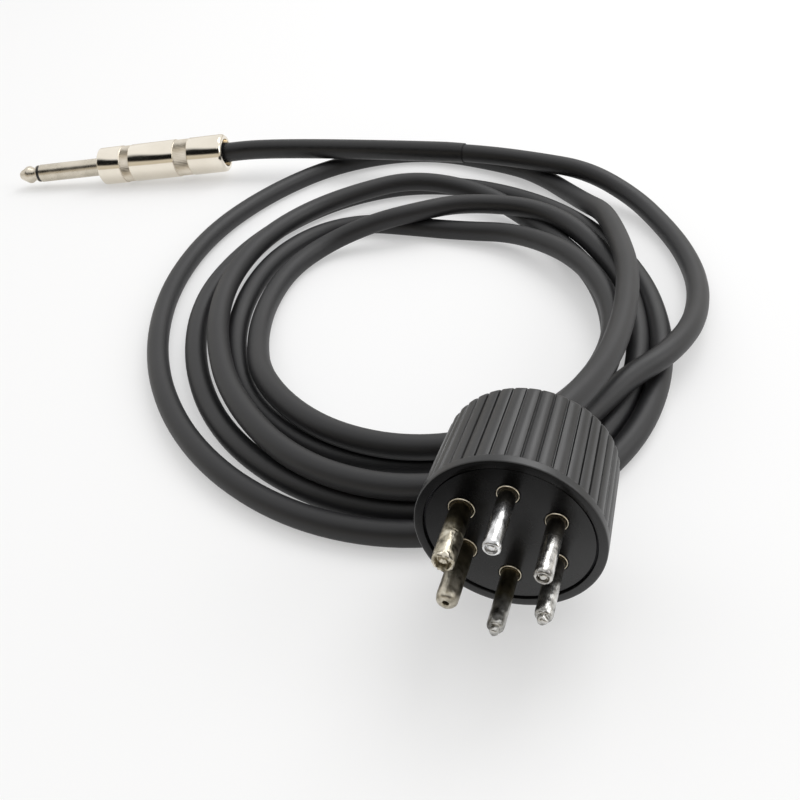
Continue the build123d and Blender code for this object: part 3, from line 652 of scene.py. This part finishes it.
def pinEnd(kind, r):
    # stations from the shaft to the middle of the end, as (radius, distance out from the rim)
    if kind == "cup":
        return [(r, 11.9), (r - 0.02, 12.15), (r - 0.08, 12.38), (r - 0.18, 12.56), (r - 0.3, 12.67),
                (r - 0.42, 12.7), (r - 0.52, 12.66), (r - 0.58, 12.5), (r - 0.62, 12.2), (r - 0.66, 11.95),
                (r - 0.76, 11.9), (r - 0.84, 12.05), (r * 0.4, 12.36), (r * 0.28, 12.5), (r * 0.14, 12.52),
                (0, 12.48)]
    if kind == "nub":
        return [(r, 11.6), (r - 0.03, 11.9), (r - 0.12, 12.16), (r - 0.28, 12.36), (r - 0.48, 12.44),
                (r - 0.66, 12.4), (r - 0.74, 12.46), (r - 0.74, 12.7), (r - 0.7, 12.95), (r - 0.72, 13.2),
                (r - 0.84, 13.44), (r - 1.05, 13.58), (0.25, 13.62), (0, 13.6)]
    if kind == "hole":
        return [(r, 11.5), (r - 0.04, 11.9), (r - 0.16, 12.3), (r - 0.36, 12.6), (r - 0.66, 12.8),
                (r - 0.95, 12.9), (r - 1.12, 12.93), (0.72, 12.92), (0.6, 12.84), (0.52, 12.6), (0.48, 12.2),
                (0.48, 9.6), (0, 9.5)]
    # ragged: a torn rim round a lump of solder
    return [(r, 11.5), (r - 0.02, 11.8), (r - 0.03, 12.1), (r - 0.08, 12.4), (r - 0.18, 12.68),
            (r - 0.34, 12.84), (r - 0.5, 12.78), (r - 0.62, 12.5), (r - 0.7, 12.1), (r - 0.8, 11.7),
            (r * 0.48, 11.6), (r * 0.4, 11.9), (r * 0.3, 12.3), (r * 0.18, 12.4), (0, 12.3)]


def addPin(name, facts):
    mount = mounts[name]
    r = mount["dims"]["r_mm"]
    tailEnd, back, thin = -pinBuild["tail"], -pinBuild["insertBack"], pinBuild["wall"]
    # riveted over behind the insert, and rolled into an eyelet in front of it
    tail = [(0, tailEnd), (r - thin, tailEnd), (r + thin, back - 0.45), (r + thin, back), (r - thin, back),
            (r - thin, -pinBuild["collarBack"])]
    collar = [(r + 0.44, -0.8), (r + 0.46, -0.46), (r + 0.42, -0.32), (r + 0.35, -0.25), (r + 0.28, -0.27),
              (r + 0.23, -0.4), (r + 0.18, -0.6), (r + 0.06, -0.66), (r, -0.6)]
    end = pinEnd(facts["end"], r)
    shaft = run(r, -0.3, end[0][1] - pinBuild["step"], pinBuild["step"])
    if "seam" in facts:
        # the tin coat stands a little proud beyond a split line
        seam = facts["seam"]
        shaft = [(radius + (0.07 if out > seam else 0), out) for radius, out in shaft]
        here = next(k for k, (_, out) in enumerate(shaft) if out > seam)
        shaft[here:here] = [(r - 0.02, seam - 0.08), (r - 0.1, seam), (r + 0.05, seam + 0.08)]
    stations = [(radius, -out) for radius, out in tail + collar + shaft + end]
    piece = turnedPiece(name + "Metal", stations, pinBuild["count"])
    middle = Vector(mount["pos_m"])
    settle(piece, Matrix.Translation((middle.x, capLow.y, middle.z)) @ plugFrame.to_3x3().to_4x4(), 40)
    # dents along the outer half, and rougher metal at the very end
    depths = {"shaft": facts["rough"], "end": facts["endRough"]}
    for groupName, (start, full, size) in pinBuild["dents"].items():
        group = piece.vertex_groups.new(name=groupName)
        for point in piece.data.vertices:
            out = (capLow.y - point.co.y) * 1000
            group.add([point.index], min(1, max(0, (out - start) / (full - start))), "REPLACE")
        clouds = bpy.data.textures.new(name + groupName, "CLOUDS")
        clouds.noise_scale = size
        clouds.noise_depth = 3
        dent = piece.modifiers.new(groupName, "DISPLACE")
        dent.texture = clouds
        dent.texture_coords = "LOCAL"
        dent.vertex_group = groupName
        dent.strength = mm(depths[groupName]) * 2
        dent.mid_level = 0.5
        makeActive(piece)
        bpy.ops.object.modifier_apply(modifier=groupName)
    number = name[-1]
    finish = makeTinnedBrass("tinnedBrass" + number, facts)
    dress(piece, finish, "lead", [name, "pin_solder_" + number])


for pinName, pinFacts in pins.items():
    addPin(pinName, pinFacts)
print("pins turned")

# the banded barrel, in mm, with lengths from its front
barrel = {
    "radius": 6.65,
    "length": 47.9,
    "bands": ((8.6, 3.8), (29.4, 5.6)),          # start and width
    "bandDepth": 0.4,
    "knurl": 72, "knurlDepth": 0.16,
    "backRound": 1.4,
    "mouthRadius": 4.8,                          # where the cable enters
    "innerRadius": 5.65, "linerEnd": 36.88, "linerStart": 7.72,
    "threadRadius": 5.08,
    "flangeRadius": 5.8, "flangeSeat": 0.9,
}


def addBarrel():
    r, length = barrel["radius"], barrel["length"]
    low = r - barrel["bandDepth"]
    outer = [(barrel["flangeRadius"], 0), (r - 0.42, 0), (r - 0.18, 0.07), (r - 0.05, 0.2), (r, 0.45)]
    for start, width in barrel["bands"]:
        outer += [(r, start - 0.12), (r - 0.04, start), (low + 0.04, start + 0.14), (low, start + 0.22)]
        outer += run(low, start + 0.3, start + width - 0.3, 0.4)
        stop = start + width
        outer += [(low, stop - 0.22), (low + 0.04, stop - 0.14), (r - 0.04, stop), (r, stop + 0.12)]
    turn, mouth = barrel["backRound"], barrel["mouthRadius"]
    back = [(r - turn * (1 - math.cos(math.radians(a))), length - turn + turn * math.sin(math.radians(a)))
            for a in (0, 15, 30, 45, 60, 75, 90)]
    inner = [(mouth + 0.2, length), (mouth + 0.05, length - 0.06), (mouth, length - 0.2),
             (mouth, barrel["linerEnd"]),
             (barrel["innerRadius"], barrel["linerEnd"]), (barrel["innerRadius"], barrel["linerStart"]),
             (barrel["threadRadius"], barrel["linerStart"]), (barrel["threadRadius"], barrel["flangeSeat"]),
             (barrel["flangeRadius"], barrel["flangeSeat"]), (barrel["flangeRadius"], 0)]
    piece = turnedPiece("bandedBarrel", outer + back + inner, barrel["knurl"] * 2)
    makeActive(piece)
    bpy.ops.object.mode_set(mode="EDIT")
    raised = (low + barrel["knurlDepth"]) / low
    for start, width in barrel["bands"]:
        # every second row of points in the band is drawn out into a straight knurl
        pick(piece, lambda p: start + 0.25 < p.z < start + width - 0.25 and math.hypot(p.x, p.y) > low - 0.1
             and round(math.atan2(p.y, p.x) / math.pi * barrel["knurl"]) % 2 == 0)
        bpy.ops.transform.resize(value=(raised, raised, 1), center_override=(0, 0, 0))
    settle(piece, phoneFrame, 40)
    dress(piece, barrelNickel, "barrel", ["barrel"])
    # the bands take a duller finish than the polished lengths
    dull = makeMetal("knurledNickel", "CFC6B6", "E6DED0", 0.28, 0.4, 1.5, 0.02)
    piece.data.materials.append(dull)
    toLocal = phoneFrame.inverted()
    for face in piece.data.polygons:
        spot = toLocal @ face.center * 1000
        if math.hypot(spot.x, spot.y) > low - 0.1 and any(
                start + 0.05 < spot.z < start + width - 0.05 for start, width in barrel["bands"]):
            face.material_index = 1


addBarrel()
print("barrel knurled")

# the floor, the tent round it and the lamps: metres and watts
light = {
    "worldStrength": 1.0,
    # shade of the tent, and of the room seen through its opening, by the sine of the height
    "tent": [(0.0, "B8B0A2"), (0.12, "E8E4DC"), (0.3, "FFFFFF"), (1.0, "FFFFFF")],
    "opening": [(0.0, "CFC6B6"), (0.3, "D6CEC0"), (0.4, "121212"), (0.72, "161616"), (0.82, "FFFFFF")],
    "openFrom": (-0.15, -0.45),  # the opening begins and is full at these shares towards -Y
    "floorSize": 8,
    "floorColour": "F6F6F6",
    "evenColour": "F8F8F8",      # of the part of the floor that is evenly bright
    "evenShare": 0.45,
    "aim": (0.05, 0, 0),
    "lamps": {
        "overhead": {"place": (0.3, 0.55, 0.8), "size": 0.7, "power": 3.4},
        "right": {"place": (0.75, 0.1, 0.4), "size": 0.4, "power": 1.0},
    },
}


def addStudio():
    startFresh()
    bpy.ops.mesh.primitive_plane_add(size=light["floorSize"], location=(0, 0, 0))
    floor = bpy.context.object
    floor.name = "floor"
    paper, tree, shader = newMaterial("whitePaperSweep", 0.9)
    shader.inputs["Base Color"].default_value = linearColour(light["floorColour"])
    shader.inputs["Specular IOR Level"].default_value = 0.0
    # as seen by the camera and in the metal, about half of the floor is lit paper and half is evenly bright
    rays = addNode(tree, "ShaderNodeLightPath").outputs
    seen = addNode(tree, "ShaderNodeMath", {"operation": "MAXIMUM"},
                   {0: rays["Is Camera Ray"], 1: rays["Is Glossy Ray"]}).outputs[0]
    share = addNode(tree, "ShaderNodeMath", {"operation": "MULTIPLY", 1: light["evenShare"]},
                    {0: seen}).outputs[0]
    even = addNode(tree, "ShaderNodeEmission", {"Color": linearColour(light["evenColour"]), "Strength": 1.0})
    output = next(node for node in tree.nodes if node.type == "OUTPUT_MATERIAL")
    mixed = addNode(tree, "ShaderNodeMixShader", links={0: share, 1: shader.outputs[0], 2: even.outputs[0]})
    tree.links.new(mixed.outputs[0], output.inputs["Surface"])
    floor.data.materials.append(paper)

    world = bpy.data.worlds.new("studio")
    bpy.context.scene.world = world
    world.use_nodes = True
    tree = world.node_tree
    tree.nodes.clear()
    direction = addNode(tree, "ShaderNodeTexCoord").outputs["Generated"]
    parts = addNode(tree, "ShaderNodeSeparateXYZ", links={0: direction}).outputs
    # a white tent stands over the table; its near side is open, and the room behind the camera is dark
    tent = ramp(tree, parts["Z"], light["tent"])
    opening = ramp(tree, parts["Z"], light["opening"])
    nearSide = spread(tree, parts["Y"], 0, 1, *light["openFrom"])
    shade = mixColours(tree, nearSide, tent, opening)
    room = addNode(tree, "ShaderNodeBackground", {"Strength": light["worldStrength"]}, {"Color": shade})
    white = addNode(tree, "ShaderNodeBackground", {"Color": (1, 1, 1, 1), "Strength": 1.0})
    seen = addNode(tree, "ShaderNodeLightPath").outputs["Is Camera Ray"]
    mixed = addNode(tree, "ShaderNodeMixShader", links={0: seen, 1: room.outputs[0], 2: white.outputs[0]})
    addNode(tree, "ShaderNodeOutputWorld", links={"Surface": mixed.outputs[0]})

    for name, facts in light["lamps"].items():
        data = bpy.data.lights.new(name + "Softbox", "AREA")
        data.shape = "DISK"
        data.size = facts["size"]
        data.energy = facts["power"]
        lamp = bpy.data.objects.new(name + "Softbox", data)
        bpy.context.collection.objects.link(lamp)
        lamp.location = facts["place"]
        lamp.rotation_euler = (Vector(light["aim"]) - lamp.location).to_track_quat("-Z", "Y").to_euler()


addStudio()
bpy.context.scene.view_settings.view_transform = "Standard"
print("studio lit")
